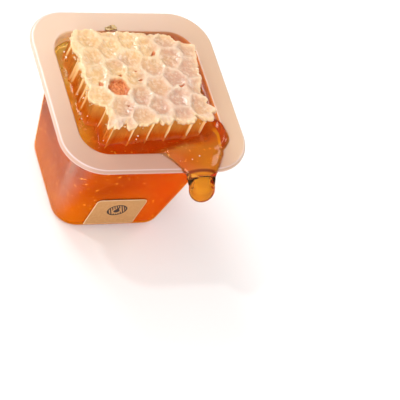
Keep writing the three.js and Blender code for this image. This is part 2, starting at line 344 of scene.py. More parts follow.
def dress(piece, material, slot, *nodes):
    """Gives the piece its material and body, and hides the imported parts that it stands for."""
    piece.data.materials.clear()
    piece.data.materials.append(material)
    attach(piece, "root")
    if nodes:
        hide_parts(*nodes)


# Materials


class Value:
    """A socket in a material; sums and products of it add Math nodes."""

    def __init__(self, finish, socket):
        self.finish = finish
        self.socket = socket

    def math(self, operation, *others):
        values = dict(enumerate((self, *others)))
        return self.finish.add("ShaderNodeMath", {"operation": operation}, values)

    def __add__(self, other):
        return self.math("ADD", other)

    def __sub__(self, other):
        return self.math("SUBTRACT", other)

    def __rsub__(self, other):
        return (self * -1) + other

    def __mul__(self, other):
        return self.math("MULTIPLY", other)

    __radd__ = __add__
    __rmul__ = __mul__

    def between(self, low, high):
        """0 at low, 1 at high, eased between; a low above its high makes the mask fall."""
        return self.finish.add(
            "ShaderNodeMapRange",
            {"interpolation_type": "SMOOTHSTEP"},
            {"Value": self, "From Min": low, "From Max": high},
        )

    def near(self, low, high):
        """1 where the value is within low of 0, and 0 beyond high."""
        return self.math("ABSOLUTE").between(high, low)


class Finish:
    """A material, or a world, being put together from nodes."""

    def __init__(self, made):
        self.made = bpy.data.materials.new(made) if isinstance(made, str) else made
        self.made.use_nodes = True
        self.tree = self.made.node_tree
        self.tree.nodes.clear()

    def add(self, kind, settings=None, sockets=None, output=0):
        """A node with its settings made first, then the values or links of its sockets."""
        node = self.tree.nodes.new(kind)
        for key, value in (settings or {}).items():
            setattr(node, key, value)
        for key, value in (sockets or {}).items():
            if isinstance(value, Value):
                self.tree.links.new(value.socket, node.inputs[key])
            else:
                node.inputs[key].default_value = value
        if not node.outputs:
            return None
        return Value(self, node.outputs[output])

    def mix(self, factor, low, high):
        """Colour between low and high."""
        colours = {0: factor, 6: self.colour(low), 7: self.colour(high)}
        return self.add("ShaderNodeMix", {"data_type": "RGBA"}, colours, 2)

    def coats(self, colour, *coats):
        """A colour with coats over it, each a mask and its own colour."""
        for mask, coat in coats:
            colour = self.mix(mask, colour, coat)
        return colour

    @staticmethod
    def colour(value):
        return value if isinstance(value, Value) else (*value, 1.0)

    def place(self, output=3):
        """Object coordinates, in metres."""
        return self.add("ShaderNodeTexCoord", output=output)

    def along(self, axis):
        """Place along an axis, in millimetres."""
        index = "XYZ".index(axis)
        return self.add("ShaderNodeSeparateXYZ", sockets={0: self.place()}, output=index) * (1 / MM)

    def cloud(self, size, detail=3.0, roughness=0.5, stretch=None):
        """Noise from 0 to 1 with grains of the given size in millimetres."""
        where = self.place()
        if stretch:
            where = self.add("ShaderNodeMapping", {}, {"Vector": where, "Scale": stretch})
        sockets = {"Vector": where, "Scale": 1 / (size * MM), "Detail": detail, "Roughness": roughness}
        return self.add("ShaderNodeTexNoise", {}, sockets)

    def painted(self, key):
        """A number kept on the piece's own points."""
        return self.add("ShaderNodeAttribute", {"attribute_name": key}, output=2)

    def bump(self, height, distance, strength):
        """Relief of the given depth in millimetres."""
        sockets = {"Height": height, "Distance": distance * MM, "Strength": strength}
        return self.add("ShaderNodeBump", {}, sockets)

    def dimmed(self, colour, share):
        """A colour brought down towards black, for a faint painted glow (emission) standing for light
        scattered inside.
        """
        return self.mix(share, (0.0, 0.0, 0.0), colour)

    def surface(self, sockets):
        """Ends the material with a Principled shader."""
        shader = self.add("ShaderNodeBsdfPrincipled", {}, sockets)
        self.add("ShaderNodeOutputMaterial", {}, {"Surface": shader})
        return self.made


def soft(weight, *radius):
    """Light that spreads this far under the surface, in millimetres of red, green and blue."""
    return {"Subsurface Weight": weight, "Subsurface Radius": radius, "Subsurface Scale": MM}


def milky_plastic(look):
    """Translucent plastic: the walls let the honey show through a milky veil, the flange is nearly solid.

    Above the honey's slanting level the bare wall looks milky too, and the lip has two bright lines, which
    are painted highlights. The flange has painted light and shade, lighter at the back and darker at the
    front left; a painted highlight runs down the front left corner; and the left wall's paler veil is
    partly a painted reflection.
    """
    f = Finish("milky_plastic")
    x, y, z = (f.along(axis) for axis in "XYZ")
    # Painted light and shade on the flange: lighter at the back where the light falls, darker at the front
    # left, between at the right.
    back = (y - x * 0.6).between(-30, 30)
    # Painted highlight: the lip's lines show only along the front left, where the light falls.
    lit_front_left = x.between(2, -18).math("MAXIMUM", y.between(-2, -20) * 0.7)
    flange = f.coats(
        look.flange_shaded_front,
        (back, look.flange_lit_back),
        (x.between(8, 26) * (1 - back * 0.5), look.flange_right),
        (f.painted("line") * lit_front_left, look.lip_highlight),
    )
    # The left wall's paler, thicker veil is partly the milky plastic and partly a painted reflection.
    left = x.between(-12, -15.5)
    # Painted highlight: a pale streak down the front left corner stands for light reflected on its round.
    corner = (x - y + look.corner_highlight_at / MM).near(0.3, 3.0) * (x + y).between(0, -10) * z.between(2, 30)
    slant = (FRONT_RIGHT_LEVEL - BACK_LEFT_LEVEL) / (4 * (TOP_HALF - WALL))
    level = (x - y) * slant + (RIM_Z + (FRONT_RIGHT_LEVEL + BACK_LEFT_LEVEL) / 2)
    bare = (z - level).between(-0.4, 0.6)
    wet_left = f.mix((z - level).between(1.2, 2.0), look.bare_low, look.bare_left)
    wet_back = f.mix((y - x).between(-4, 8), look.bare, look.bare_back)
    wet = f.mix((y - x).between(24, 32), wet_back, wet_left)
    wall = f.coats(look.wall_front, (left, look.wall_left_and_reflection), (corner, look.corner_highlight), (bare, wet))
    veil = lerp(look.veil_front, look.veil_left_and_reflection, left) * (0.7 + f.cloud(12.0, 2.0) * 0.6)
    veil = lerp(veil, look.veil_corner_highlight, corner)
    veil = lerp(veil, look.veil_bare, bare)
    out = f.painted("out")
    above = z.between(RIM_Z - 0.22, RIM_Z - 0.08)
    return f.surface(
        {
            "Base Color": f.mix(out.between(0.0, 0.12).math("MAXIMUM", above), wall, flange),
            "Alpha": lerp(veil, look.veil_flange, out.between(0.02, 0.25).math("MAXIMUM", above)),
            "Roughness": 0.32,
            "IOR": 1.48,
            **soft(0.2, 4.0, 2.5, 1.5),
            "Coat Weight": 0.4,
            "Coat Roughness": 0.12,
            "Normal": f.bump(f.cloud(0.4, 2.0), 0.01, 0.4),
        }
    )


def clear_honey(look):
    """Honey: clear and wet, yellow where it is thin and orange where it is deep.

    Plastic bends light as honey does, so nothing bends or shines where the honey meets the wall: only
    high up, and outside past the front wall, is it free. It is paler at the left, in the coat over the
    comb, and where it hangs in front of the lip.
    """
    f = Finish("honey")
    x, y, z = (f.along(axis) for axis in "XYZ")
    outside = y.between(-TOP_HALF - 1.2, -TOP_HALF - 1.7)
    free = z.between(RIM_Z - 6.5, RIM_Z - 5.0).math("MAXIMUM", outside)
    left = (y * 0.35 - x).between(5, 14) * free
    coat = z.between(RIM_Z - 1.6, RIM_Z + 0.4) * (x - y).between(28, 22)
    hanging = outside * z.between(RIM_Z - 1.6, RIM_Z - 2.4)
    hanging = hanging.math("MAXIMUM", y.between(FLOW_DOWN_Y - 0.2, FLOW_DOWN_Y - 1.2))
    tint_left = f.mix(y.between(3, 8), look.tint_left, look.tint_thin)
    tint = f.coats(look.tint, (left, tint_left), (coat, look.tint_thin), (hanging, look.tint_drop))
    same = {"Base Color": tint, "Roughness": 0.02, "Transmission Weight": 1.0}
    shiny = {
        "IOR": look.bend,
        "Coat Weight": lerp(0.3, 0.9, hanging),
        "Coat Roughness": 0.02,
        "Coat IOR": 1.02,
        "Coat Tint": (*look.skin, 1.0),
        "Normal": f.bump(f.cloud(4.0, 2.0), 0.3, 0.4),
    }
    open_air = f.add("ShaderNodeBsdfPrincipled", {}, {**same, **shiny})
    at_wall = f.add("ShaderNodeBsdfPrincipled", {}, {**same, "IOR": 1.0})
    both = f.add("ShaderNodeMixShader", {}, {0: free, 1: at_wall, 2: open_air})
    deep = {"Color": (*look.depth_colour, 1.0), "Density": look.depth}
    absorb = f.add("ShaderNodeVolumeAbsorption", {}, deep)
    f.add("ShaderNodeOutputMaterial", {}, {"Surface": both, "Volume": absorb})
    return f.made


def cloudy_honey(look):
    """The cloudy heart of the honey, seen through its clear skin: blotches, and a few light specks.

    Its sides change from left to right and foot to lip, with painted shade at the left and just under the
    lip. Its top changes from left to right, past the mouth's round corner, beside a golden line that is a
    painted highlight, and where the drop leaves the lip, across which runs a painted shadow line. Its top
    and the drop have a painted glow.
    """
    f = Finish("cloudy_honey")
    x, y, z = (f.along(axis) for axis in "XYZ")
    blotch = f.cloud(9.0, 4.0, 0.6).between(0.35, 0.65)
    # Painted shade: the heart's side is darker at the left than at the right.
    side = f.coats(
        look.side_left_shaded,
        (x.between(-14, 16), look.side_right),
        (blotch * 0.5, look.side_light),
        (z.between(20, 1) * x.between(12, -4) * 0.75, look.side_foot),
        # Painted shade high up under the lip, towards the left.
        (z.between(22, 32) * x.between(14, 0) * 0.4, look.side_shaded_under_lip),
    )
    centre = TOP_HALF - CORNER_TOP
    u, v = ((a - centre).math("MAXIMUM", 0.0) for a in (x, y * -1))
    past_corner = (u * u + v * v).math("SQRT").between(3.5, 6.0)
    # Painted highlight: a golden line along the bulge stands for light gathered by the honey's curve.
    off = x - (y + 14.3) * 0.1 - look.golden_highlight_at / MM
    bulge = y.between(-18.2, -17.2)
    past_lip = y * -1 + FLOW_DOWN_Y
    top = f.coats(
        look.top_front,
        ((y * 0.35 - x).between(6, 13), look.top_left),
        (blotch * 0.4, look.side_light),
        ((x - y).between(18, 30) * 0.45, look.top_right),
        (past_corner, f.mix(x.between(2, 11), look.top_outside, look.top_right)),
        (off.between(0.0, 0.4) * bulge, look.top_outside),
        (off.near(0.2, 0.5) * bulge * y.between(-10.8, -12.5), look.streak),
        (past_lip.between(0.0, 0.5), look.in_drop),
        # Painted shadow: a dark line where the drop leaves the lip, the lip's shadow seen through the
        # honey.
        ((past_lip - 0.1).near(0.1, 0.5) * 0.85, look.lip_shadow),
    )
    inside = z.between(27.5, 30.5).math("MAXIMUM", y.between(-23.5, -24.5))
    colour = f.mix(inside, side, top)
    speck = f.cloud(1.0, 1.0).between(0.68, 0.74)
    return f.surface(
        {
            "Base Color": f.mix(speck * 0.8, colour, look.speck),
            # Painted glow: the heart's top and the drop give off light of their own.
            "Emission Color": f.dimmed(colour, inside * look.glow),
            "Emission Strength": 1.0,
            "Roughness": 0.6,
            "IOR": 1.1,
            **soft(0.3, 3.0, 1.0, 0.4),
        }
    )


def pale_beads(name, tint):
    """Crumbs of wax, or painted glints on the honey, so small that only their paleness shows."""
    f = Finish(name)
    colour = f.mix(f.cloud(0.4) * 0.3, tint, (0.7, 0.45, 0.2))
    return f.surface({"Base Color": colour, "Roughness": 0.35})


def wax_cappings(look):
    """Beeswax cappings: cream ridges over the cell walls, pinkish middles, amber where they are torn."""
    f = Finish("wax_cappings")
    ridge, edge, hole, thick, tone = (f.painted(key) for key in ("ridge", "edge", "hole", "thick", "tone"))
    mottle = f.cloud(1.2, 5.0, 0.65)
    patch = f.cloud(6.0, 3.0)
    pale = (mottle.between(0.4, 0.65) * 0.5).math("MAXIMUM", ridge * 0.85)
    grit = f.cloud(0.5, 4.0, 0.7)
    colour = f.coats(
        look.middle,
        (tone.between(0.1, 0.9), look.middle_warm),
        (patch.between(0.4, 0.65) * 0.5, look.middle_pink),
        (ridge * 0.85, look.ridge),
        (mottle.between(0.45, 0.7) * 0.5, look.ridge),
        (thick * 0.8, f.mix(pale, look.thick, look.ridge_thick)),
        (edge * 0.85, look.edge),
        (hole, f.mix(grit.between(0.35, 0.65), look.hole_deep, look.hole_light)),
    )
    wet = f.cloud(4.0, 3.0).between(0.48, 0.58)
    return f.surface(
        {
            "Base Color": colour,
            "Roughness": lerp(0.5, 0.32, wet),
            "IOR": 1.44,
            **soft(0.35, 2.0, 1.2, 0.8),
            "Coat Weight": wet * 0.8,
            "Coat Roughness": 0.1,
            "Normal": f.bump(f.cloud(0.45, 4.0, 0.6), 0.12, 0.6),
        }
    )


def wax_walls(look):
    """The cut sides: pale fins where the knife met cell walls, and honey-wet cells between them."""
    f = Finish("wax_walls")
    streak = f.cloud(1.4, 4.0, 0.6, stretch=(1.0, 1.0, 0.25))
    pale = f.painted("fin") * (1 - f.along("X").between(-11.5, -13) * 0.55)
    colour = f.coats(
        look.cell_deep,
        (streak.between(0.25, 0.75), look.cell_light),
        (f.along("Z").between(34, 39.5) * 0.6, look.cell_top),
        (pale * (0.75 + streak * 0.25), look.fin),
    )
    return f.surface(
        {
            "Base Color": colour,
            # Painted glow: the cut sides give off a little light of their own, standing for light scattered
            # in the wax.
            "Emission Color": f.dimmed(colour, look.glow),
            "Emission Strength": 1.0,
            "Roughness": 0.4,
            **soft(0.3, 2.0, 1.0, 0.4),
            "Normal": f.bump(streak, 0.2, 0.6),
        }
    )


def label_paper(look):
    """Uncoated tan paper with a lighter cut edge, printed with an ink drop on a striped seal.

    The drop is a disc, and a point over it whose half width falls with height. The stripes are waves
    along a slanting line, and a ring closes the seal.
    """
    f = Finish("label_paper")
    fibre = f.cloud(0.6, 4.0, 0.7)
    u, v = f.painted("across") - look.mark_x / MM, f.painted("up") - look.mark_y / MM
    radius = look.mark_size / MM
    away = (u * u + v * v).math("SQRT")
    seal = away.between(radius + 0.05, radius - 0.05)
    ring = seal * away.between(radius - 0.45, radius - 0.35)
    lower = v + 0.4
    disc = (u * u + lower * lower).math("SQRT").between(0.85, 0.75)
    taper = (1.5 - v) * 0.42 - u.math("ABSOLUTE")
    point = taper.between(-0.05, 0.05) * v.between(-0.25, -0.15) * v.between(1.5, 1.4)
    round_drop = (u * u + lower * lower * 0.7).math("SQRT").between(1.15, 1.25)
    stripes = (u * 10.0 + v * 4.0).math("SINE").between(-0.2, 0.2) * seal * round_drop
    ink = ring.math("MAXIMUM", disc).math("MAXIMUM", point).math("MAXIMUM", stripes)
    colour = f.coats(
        look.paper,
        (fibre.between(0.3, 0.7), look.paper_light),
        (ink * fibre.between(0.05, 0.3), look.ink),
        (f.painted("rim"), look.paper_edge),
    )
    return f.surface({"Base Color": colour, "Roughness": 0.75, "Normal": f.bump(fibre, 0.02, 0.5)})


def flake_wax(look):
    """Brown wax with light streaks, wet with honey."""
    f = Finish("wet_flake")
    streak = f.cloud(0.8, 3.0)
    return f.surface(
        {
            "Base Color": f.mix(streak.between(0.35, 0.65), look.flake_dark, look.flake_light),
            "Roughness": 0.25,
            "Coat Weight": 0.8,
            "Coat Roughness": 0.08,
            "Normal": f.bump(streak, 0.2, 0.6),
        }
    )


def floor_paint(look):
    """Plain matt paint, faintly uneven."""
    f = Finish("floor_paint")
    tone = f.mix(f.cloud(10.0, 2.0) * 0.1, look.floor, (0.9, 0.9, 0.9))
    return f.surface({"Base Color": tone, "Roughness": 0.9, "Specular IOR Level": 0.0})


# Tub


def outer_half(z):
    """Half width of the outer wall at a height: a straight line from the base to the rim."""
    return lerp(BASE_HALF, TOP_HALF, z / RIM_Z)


def arc(s, z, r, start, end, steps=8):
    """Points on a circle in the section's plane, angles in degrees."""
    a = np.radians(np.linspace(start, end, steps + 1))
    return np.stack([s + r * np.cos(a), z + r * np.sin(a)], -1)


def tub_section():
    """The section from the base's middle out, up the outer wall, round the lip and down the inner wall.

    A third column holds the strength of the lip's two painted highlight lines.
    """
    neck_z = RIM_Z - WALL - NECK_R
    mouth_z = RIM_Z - MOUTH_R
    floor_r = BASE_EDGE_R - WALL
    floor_z = WALL + floor_r
    lip_z = RIM_Z - LIP_DROP
    lip_in = FLANGE_HALF - WALL
    edge_r = 0.12
    inner = lambda z: outer_half(z) - WALL
    climb = np.linspace(0.15, 0.85, 8)
    up_z, down_z = lerp(BASE_EDGE_R, neck_z, climb), lerp(mouth_z, floor_z, climb)
    parts = [
        arc(outer_half(BASE_EDGE_R) - BASE_EDGE_R, BASE_EDGE_R, BASE_EDGE_R, -90, 0),
        np.stack([outer_half(up_z), up_z], -1),
        arc(outer_half(neck_z) + NECK_R, neck_z, NECK_R, 180, 90),
        arc(lip_in - 0.3, RIM_Z - WALL - 0.3, 0.3, 90, 0, 4),
        arc(lip_in + edge_r, lip_z + edge_r, edge_r, 180, 270, 3),
        arc(FLANGE_HALF - edge_r, lip_z + edge_r, edge_r, -90, 0, 3),
        arc(FLANGE_HALF - LIP_R, RIM_Z - LIP_R, LIP_R, 0, 90, 14),
        arc(inner(mouth_z) + MOUTH_R, mouth_z, MOUTH_R, 90, 180),
        np.stack([inner(down_z), down_z], -1),
        arc(inner(floor_z) - floor_r, floor_z, floor_r, 0, -90),
    ]
    # The painted highlight lines lie on the lip's lower outer edge, and in a narrow band near the top of
    # its round.
    line = [np.zeros(len(part)) for part in parts]
    line[5][:] = 0.35
    line[6][:] = 0.7 * np.exp(-(((np.linspace(0, 90, 15) - 58) / 9) ** 2))
    return np.concatenate([np.column_stack(pair) for pair in zip(parts, line)])


def tub_ring(s, z):
    """Rounded square at half width s, which widens into the flange past the wall."""
    out = np.clip((s - TOP_HALF) / (FLANGE_HALF - TOP_HALF), 0, 1)
    wall_corner = max(lerp(CORNER_BASE, CORNER_TOP, z / RIM_Z) + s - outer_half(z), 0.5)
    corner = lerp(CORNER_TOP, FLANGE_CORNER, out) if out > 0 else wall_corner
    flat = rounded_square(s, s + FLANGE_EXTRA * out, corner, FLANGE_BACK * out)
    return np.column_stack([flat, np.full(len(flat), z)])


def tub_shell():
    """The section carried round the rounded square."""
    section = tub_section()
    grid = np.stack([tub_ring(s, z) for s, z in section[:, :2]])
    out = np.clip((section[:, 0] - TOP_HALF) / (FLANGE_HALF - TOP_HALF), 0, 1)
    wide = np.ones(grid.shape[1])
    # The line mask carries the lip's painted highlight.
    masks = {"out": out[:, None] * wide, "line": section[:, 2:] * wide}
    return make_mesh("tub_shell", grid, attributes=masks)


# Honey


def curve(points, count):
    """Catmull-Rom curve through the points, as this many points."""
    p = np.asarray(points, float)
    t = np.linspace(0, len(p) - 1, count)
    p = np.concatenate([2 * p[:1] - p[1:2], p, 2 * p[-1:] - p[-2:-1]])
    k = np.clip(t.astype(int), 0, len(p) - 4)
    f = (t - k)[:, None]
    a, b, c, d = (p[k + n] for n in range(4))
    return 0.5 * (
        2 * b + (c - a) * f + (2 * a - 5 * b + 4 * c - d) * f**2 + (3 * b - a - 3 * c + d) * f**3
    )


def off_line(x, y, line):
    """Distance to the nearest of a line's segments: a segment's nearest point is a + t e, t cut to 0..1."""
    best = np.full(np.shape(x), np.inf)
    for a, b in zip(line[:-1], line[1:]):
        e = b - a
        t = np.clip(((x - a[0]) * e[0] + (y - a[1]) * e[1]) / (e @ e), 0, 1)
        best = np.minimum(best, np.hypot(x - a[0] - t * e[0], y - a[1] - t * e[1]))
    return best


def inner_walls(angles, into=0.0):
    """How far away the inner wall is at the base and at the rim, and this much into its thickness."""
    ends = (BASE_HALF, CORNER_BASE), (TOP_HALF, CORNER_TOP)
    return [reach(rounded_square(h - WALL, h - WALL, c - WALL), angles) + into for h, c in ends]


def flow_edges():
    """The overflow's left, right and back edges."""
    return curve(FLOW_LEFT, 40), curve(FLOW_RIGHT, 50), curve(FLOW_BACK, 30)


def flow_reach(angles):
    """Distance from the overflow's middle to its outline."""
    left, right, back = flow_edges()
    left, right = (edge[edge[:, 1] > FLOW_FRONT_Y] for edge in (left, right))
    return reach(np.concatenate([left, right, back]) - np.array(FLOW_MIDDLE), angles)


def pool_level(x, y):
    """The pool's plane, which rises from the back left corner to the front right one."""
    across = np.clip((x - y) / (4 * (TOP_HALF - WALL)) + 0.5, 0, 1)
    return RIM_Z + lerp(BACK_LEFT_LEVEL, FRONT_RIGHT_LEVEL, across)


def honey_top(x, y, inset=0.0, under=0.0, deep=0.0):
    """Height of the honey: the pool, and the overflow on the flange.

    The overflow is T (1 - (1 - d/w)^2)^0.6 thick at distance d from its edges, up to w, thinner near the
    mouth, and rolls off as a quarter circle at the lip. A smooth step from its back edge leads from the
    pool to it. The cloudy heart's pool is deeper, and its overflow is inset and lies under the honey's.
    """
    left, right, back = flow_edges()
    edge = np.minimum(off_line(x, y, left), off_line(x, y, right)) - inset
    out_x, out_y = x - FLOW_MIDDLE[0], y - FLOW_MIDDLE[1]
    rim = flow_reach(np.arctan2(out_y, out_x).ravel()).reshape(x.shape)
    from_back = off_line(x, y, back) * (np.hypot(out_x, out_y) < rim)
    thick = FLOW_THICK * (1 - (1 - np.clip(edge / FLOW_EDGE, 0, 1)) ** 2) ** 0.6
    full = smooth((FLOW_THIN_Y - y) / (FLOW_THIN_Y - FLOW_FULL_Y))
    thick = thick * lerp(FLOW_THIN, 1.0, full) - under
    past = np.clip(FLOW_ROLL_Y - y, 0, FLOW_ROLL)
    roll = FLOW_ROLL - np.sqrt(FLOW_ROLL**2 - past**2)
    return lerp(pool_level(x, y) - deep, RIM_Z + thick - roll, smooth(from_back / FLOW_SLOPE))


def cell_middles():
    """Middles of the cells, in columns along Y, each second column moved by half a cell."""
    i, j = np.meshgrid(np.arange(-5, 5), np.arange(-4, 5), indexing="ij")
    y = CELL_AT[1] + CELL * (j + (i % 2) / 2 + 0.5)
    x = CELL_AT[0] + CELL * math.cos(math.pi / 6) * i + CELL_LEAN * y
    turn = 2.4 * i + 4.1 * j
    return np.stack([x + 0.3 * np.sin(turn), y + 0.3 * np.cos(1.7 * turn)], -1).reshape(-1, 2)


def from_cell_walls(x, y, middles):
    """Distance to the nearest cell wall, and the nearest middle's number.

    For the two nearest middles at distances d1 < d2 and D apart, the wall between them is
    (d2^2 - d1^2) / 2D away.
    """
    square = (x[..., None] - middles[:, 0]) ** 2 + (y[..., None] - middles[:, 1]) ** 2
    order = np.argpartition(square, 3, -1)[..., :4]
    near = np.take_along_axis(square, order, -1)
    rank = np.argsort(near, -1)
    order = np.take_along_axis(order, rank, -1)
    near = np.take_along_axis(near, rank, -1)
    first = middles[order[..., :1]]
    apart = np.hypot(*np.moveaxis(middles[order[..., 1:]] - first, -1, 0))
    return ((near[..., 1:] - near[..., :1]) / (2 * apart)).min(-1), order[..., 0]


def opened(angles, middles):
    """How far each cell that the knife cut open goes in from the cut, along each direction.

    The depth is where the ray inwards first comes within half a wall of the cell's walls. It is less
    for a cell whose middle is well inside the cut, because wax and honey still fill it.
    """
    cut = reach(CUT, angles)
    turn = np.arctan2(middles[:, 1], middles[:, 0])
    inside = reach(CUT, turn) - np.hypot(*middles.T)
    step = np.linspace(0.05, GROOVE, 40)
    r = cut[:, None] - step
    wall, cell = from_cell_walls(*spread(r, angles[:, None]), middles)
    solid = wall < HALF_WALL
    first = np.where(solid.any(1), step[solid.argmax(1)], GROOVE)
    first = np.where(inside[cell[:, 0]] > OPEN_INSIDE, np.minimum(first, FILLED), first)
    return np.where(solid[:, 0], 0.0, first)


def blurred(values, width):
    """Running mean round a ring, twice."""
    window = np.ones(2 * width + 1) / (2 * width + 1)
    for _ in range(2):
        wrapped = np.concatenate([values[-width:], values, values[:width]])
        values = np.convolve(wrapped, window, "valid")
    return values


def honey_pool(angles, middles):
    """The pool as rings: under the cap, down the comb's coated side, out to the wall, and down the wall.

    The coat's surface sinks between the fins. The level rises to the comb and the wall as a meniscus,
    h * exp(-distance / w).
    """
    cut = reach(CUT, angles)
    sunk = blurred(np.minimum(opened(angles, middles), 1.0), 3)
    coat = cut - COAT_INSIDE - COAT_SUNK * sunk + 0.22 * noise(*spread(cut, angles), 2.3, 74)
    under = COMB_TOP - CAP_THICK - 0.7
    base, mouth = inner_walls(angles, INTO_WALL)
    shore = lerp(base, mouth, SHORE)
    rows = [polar(coat * f, angles, under) for f in (0.3, 0.7, 0.9)]
    rows += [polar(coat - 0.4, angles, under), polar(coat - 0.1, angles, under - 0.1)]
    foot = honey_top(*spread(coat, angles)) + MENISCUS
    for t in np.linspace(0, 1, 12):
        rows.append(polar(coat + 0.1 * t, angles, lerp(under - 0.4, foot, t)))
    for t in np.linspace(0.02, 1, 40) ** 1.3:
        r = lerp(coat + 0.1, shore, t)
        x, y = spread(r, angles)
        by_comb, by_wall = r - coat, shore - r
        z = honey_top(x, y) + MENISCUS * np.exp(-by_comb / 0.45) + WALL_MENISCUS * np.exp(-by_wall / 0.4)
        z = z + 0.25 * layered(x, y, 2.4, 73, 2) * smooth(by_comb / 0.5) * smooth(by_wall / 0.8)
        rows.append(polar(r, angles, z))
    contact = rows[-1][:, 2]
    floor = WALL - INTO_WALL
    for t in np.linspace(0, 1, 30)[1:]:
        z = lerp(contact, floor + FOOT_R, t)
        rows.append(polar(lerp(base, mouth, z / RIM_Z), angles, z))
    for a in np.linspace(0, math.pi / 2, 6)[1:]:
        r = lerp(base, mouth, 0.03) - FOOT_R * (1 - math.cos(a))
        rows.append(polar(r, angles, floor + FOOT_R * (1 - math.sin(a))))
    rows += [polar(base * f, angles, floor) for f in (0.6, 0.3)]
    return make_mesh("honey_pool", np.stack(rows))


def heart_pool():
    """The cloudy part as rings: its lumpy top lies under the level, and its sides reach into the walls."""
    angles = directions(360)
    base, mouth = inner_walls(angles, HEART_INTO_WALL)
    share = np.linspace(0.3, 1, 60)[:, None]
    x, y = spread(lerp(base, mouth, HEART_SHORE) * share, angles)
    lumps = 0.7 * noise(x, y, 4.0, 71) + 0.35 * noise(x, y, 1.6, 72)
    z = pool_level(x, y) - HEART_UNDER + lumps - 1.5 * smooth((share - 0.94) / 0.06) ** 2
    heights = [z[-1] - down for down in (0.4, 1.2, 3, 8)] + [16, 8, 3, 1.6]
    rows = [polar(lerp(base, mouth, height / RIM_Z), angles, height) for height in heights]
    rows += [polar(base - back, angles, height) for height, back in ((1.1, 0.3), (0.9, 1.0), (0.9, 8.0))]
    return make_mesh("heart_pool", np.concatenate([np.stack([x, y, z], -1), np.stack(rows)])[::-1])


def overflow(name, inset=0.0, under=0.0, deep=0.0):
    """The honey on the flange as rings about its middle: out over the top, and back on the flange.

    Its underside follows the flange and the mouth's round edge, and goes down inside the pool.
    """
    angles = directions(360)
    share = np.concatenate([np.linspace(0.04, 0.9, 50), np.linspace(0.9, 1, 16)[1:]])[:, None]
    x, y = spread((flow_reach(angles) - inset) * share, angles)
    x, y = x + FLOW_MIDDLE[0], y + FLOW_MIDDLE[1]
    top = honey_top(x, y, inset, under, deep)
    mouth = inner_walls(np.arctan2(y, x).ravel())[1].reshape(x.shape)
    past = np.hypot(x, y) - mouth
    rounding = MOUTH_R - np.sqrt(MOUTH_R**2 - (MOUTH_R - np.clip(past, 0, MOUTH_R)) ** 2)
    floor = RIM_Z - INTO_WALL - rounding + 6 * np.clip(past, -1, 0) + under / 4
    floor = floor - 1.5 * smooth((FLOW_DOWN_Y - y) / 0.8) * (under == 0)
    floor = np.minimum(floor, top - 0.05)
    grid = np.concatenate([np.stack([x, y, top], -1), np.stack([x, y, floor], -1)[::-1]])
    return make_mesh(name, grid[::-1])


def drop(name, inset=0.0, steps=DROP_STEPS):
    """Ellipses carried along the neck over the lip, and down the leaning drop to its round tip.

    At the share s of its length the drop's radius is R up to s = 0.55, and from there on
    R sqrt(1 - ((s - 0.55) / 0.45)^2).
    """
    lean = np.array(DROP_LEAN) / np.linalg.norm(DROP_LEAN)
    down = np.array([0.25, 0.45, 0.6, 0.72, 0.82, 0.9, 0.96, 0.995])
    r = DROP_R * np.sqrt(1 - np.clip((down - 0.55) / 0.45, 0, 1) ** 2)
    neck = np.array(NECK[-1][:3])
    tip = np.column_stack([neck + lean * DROP_LENGTH * down[:, None], r, 0.85 * r, 0.85 * r])
    path = curve(np.concatenate([np.array(NECK), tip]), DROP_STEPS)[:steps]
    at = path[:, :3]
    wide, high, low = (np.maximum(path[:, k : k + 1] - inset, 0.05) for k in (3, 4, 5))
    tangent = np.gradient(at, axis=0)
    tangent /= np.linalg.norm(tangent, axis=1, keepdims=True)
    side = np.array([1.0, 0, 0]) - tangent * tangent[:, :1]
    side /= np.linalg.norm(side, axis=1, keepdims=True)
    up = np.cross(side, tangent)
    a = np.linspace(0, -2 * math.pi, 72, endpoint=False)
    lift = np.sin(a) * np.where(np.sin(a) > 0, high, low)
    across = wide * np.cos(a)
    grid = at[:, None] + side[:, None] * across[..., None] + up[:, None] * lift[..., None]
    return make_mesh(name, grid)


def ball(name, at, size, rows, around):
    """Ellipsoid from circles of latitude: the cosine of the latitude wide, and its sine high."""
    lift = np.linspace(-math.pi / 2, math.pi / 2, rows + 2)[1:-1, None]
    unit = polar(np.cos(lift), directions(around), np.sin(lift))
    return make_mesh(name, unit * np.array(size) + np.array(at))


def honey_body(middles):
    """The clear honey: pool, overflow and drop in one skin."""
    parts = [honey_pool(directions(AROUND), middles), overflow("overflow"), drop("drop")]
    return fused("honey_body", parts, HONEY_VOXEL)


def honey_heart():
    """The cloudy honey inside the clear one, made of the same parts."""
    flow = overflow("flow_heart", FLOW_HEART_IN, FLOW_HEART_UNDER, HEART_UNDER)
    parts = [heart_pool(), flow, drop("drop_heart", DROP_HEART_IN, DROP_HEART_STEPS)]
    return fused("honey_heart", parts, HEART_VOXEL)


# Comb


def cap_reach(angles):
    """The torn edge: the cut moved out, with named tears and a fine raggedness along it."""
    r = reach(CUT, angles) + CAP_OVERHANG
    degrees = np.degrees(angles)
    for at, width, out in TEARS:
        away = (degrees - at + 180) % 360 - 180
        r = r + out * np.exp(-((away / width) ** 4))
    x, y = spread(r, angles)
    return r + 0.32 * noise(x, y, 1.3, 11) + 0.22 * noise(x, y, 0.6, 12) + 0.07 * noise(x, y, 0.3, 13)


def holes_at(x, y):
    """1 inside each hole, fading at its wandering edge."""
    mask = np.zeros_like(x)
    wander = 0.35 * noise(x, y, 0.7, 31)
    for hx, hy, long, wide, turn in HOLES:
        a = math.radians(turn)
        u = (x - hx) * math.cos(a) + (y - hy) * math.sin(a)
        v = (y - hy) * math.cos(a) - (x - hx) * math.sin(a) - 0.25 * (u / long) ** 2
        mask = np.maximum(mask, smooth((1.25 - np.hypot(u / long, v / wide) + wander) / 0.5))
    return mask


